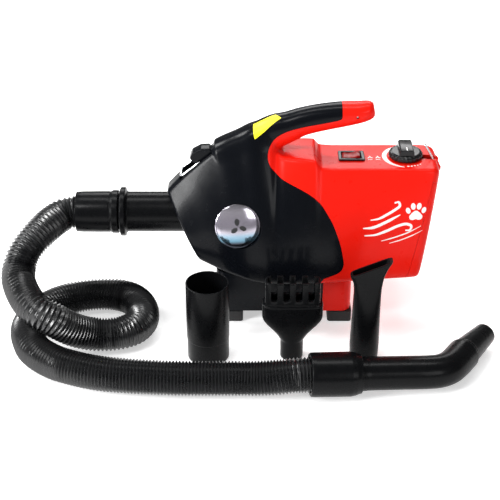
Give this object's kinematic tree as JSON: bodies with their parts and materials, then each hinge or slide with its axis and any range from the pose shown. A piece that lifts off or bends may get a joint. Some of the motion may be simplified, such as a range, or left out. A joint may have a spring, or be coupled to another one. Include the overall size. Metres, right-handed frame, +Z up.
{
  "type": "pet dryer",
  "caption": "Portable pet blower dryer with cantilever carry handle, rotary speed knob, stretch hose, bent wand and three loose air nozzles",
  "frame": {"origin": "on the ground, at the bottom centre of the dryer and its three loose nozzles, without the free hose and what is on it", "axes": "+Z up, -X towards the nose and the air outlet, -Y the dryer's left side, where the loose nozzles stand"},
  "size_m": [0.6026, 0.3102, 0.2782],
  "materials": {
    "black_casing": "gloss",
    "red_casing": "gloss",
    "black_plastic": "satin",
    "hose_plastic": "satin",
    "rubber": "matte",
    "chrome": "polished",
    "steel": "brushed",
    "aluminium": "cast",
    "foam": "open-cell foam",
    "inner_plastic": "moulded",
    "board": "satin",
    "rocker_red": "gloss",
    "wire_insulation": "satin"
  },
  "bodies": {
    "dryer_body": {"front_shell_left": "black_casing", "front_shell_right": "black_casing", "rear_housing_left": "red_casing", "rear_housing_right": "red_casing", "door_hinge_pin": "steel", "plinth_front": "black_plastic", "plinth_rear": "red_casing", "foot_front_left": "rubber", "foot_screw_front_left": "steel", "foot_front_right": "rubber", "foot_screw_front_right": "steel", "foot_rear_left": "rubber", "foot_screw_rear_left": "steel", "foot_rear_right": "rubber", "foot_screw_rear_right": "steel", "casing_screw_1": "steel", "casing_screw_2": "steel", "casing_screw_3": "steel", "casing_screw_4": "steel", "casing_screw_5": "steel", "casing_screw_6": "steel", "outlet_tube": "black_plastic", "outlet_duct": "inner_plastic", "turbine_housing": "aluminium", "motor": "steel", "bearing_front": "steel", "bearing_rear": "steel", "motor_mount_front": "rubber", "motor_mount_rear": "rubber", "switch_body": "black_plastic", "speed_potentiometer": "steel", "control_board": "board", "board_lead": "wire_insulation", "motor_lead": "wire_insulation", "cord_gland": "rubber", "strap_hook": "black_casing", "badge": "chrome", "hose": "hose_plastic", "hose_cuff_machine": "black_plastic", "hose_cuff_wand": "black_plastic"},
    "rotor": {"impeller": "inner_plastic", "motor_shaft": "steel"},
    "rocker": {"power_rocker": "rocker_red"},
    "knob": {"speed_knob": "black_plastic", "knob_shaft": "steel"},
    "door": {"filter_door": "red_casing", "intake_filter": "foam"},
    "ring": {"strap_ring": "chrome"},
    "rear_ring": {"rear_strap_ring": "chrome"},
    "wand_assembly": {"wand": "black_plastic", "wand_tip": "black_plastic"},
    "loose_round_nozzle": {"round_nozzle": "black_plastic"},
    "loose_comb_nozzle": {"comb_nozzle": "black_plastic"},
    "loose_flat_nozzle": {"flat_nozzle": "black_plastic"}
  },
  "joints": [
    {"name": "impeller_spin", "type": "hinge", "parent": "dryer_body", "child": "rotor", "pos_m": [0.04778, 0.0378, 0.128], "axis": [1, 0, 0], "continuous": true},
    {"name": "power_rocker_tilt", "type": "hinge", "parent": "dryer_body", "child": "rocker", "pos_m": [0.10748, 0.0378, 0.2042], "axis": [0, 1, 0], "range_deg": [0, 18]},
    {"name": "speed_knob_turn", "type": "hinge", "parent": "dryer_body", "child": "knob", "pos_m": [0.17378, 0.0378, 0.206], "axis": [0, 0, 1], "range_deg": [-135, 135]},
    {"name": "filter_door_open", "type": "hinge", "parent": "dryer_body", "child": "door", "pos_m": [0.21128, 0.0378, 0.196], "axis": [0, -1, 0], "range_deg": [0, 100]},
    {"name": "strap_ring_swing", "type": "hinge", "parent": "dryer_body", "child": "ring", "pos_m": [-0.07832, 0.0378, 0.202], "axis": [0, 1, 0], "range_deg": [0, 110]},
    {"name": "rear_ring_swing", "type": "hinge", "parent": "dryer_body", "child": "rear_ring", "pos_m": [0.21128, 0.0378, 0.196], "axis": [0, 1, 0], "range_deg": [0, 50]},
    {"name": "wand_swivel", "type": "hinge", "parent": "dryer_body", "child": "wand_assembly", "pos_m": [0.05268, -0.168, 0.028], "axis": [0.9955, 0.087, -0.037], "range_deg": [0, 170]},
    {"name": "round_nozzle_lift", "type": "slide", "parent": "dryer_body", "child": "loose_round_nozzle", "axis": [0, 0, 1], "range_m": [0, 0.15]},
    {"name": "comb_nozzle_lift", "type": "slide", "parent": "dryer_body", "child": "loose_comb_nozzle", "axis": [0, 0, 1], "range_m": [0, 0.15]},
    {"name": "flat_nozzle_lift", "type": "slide", "parent": "dryer_body", "child": "loose_flat_nozzle", "axis": [0, 0, 1], "range_m": [0, 0.15]}
  ]
}
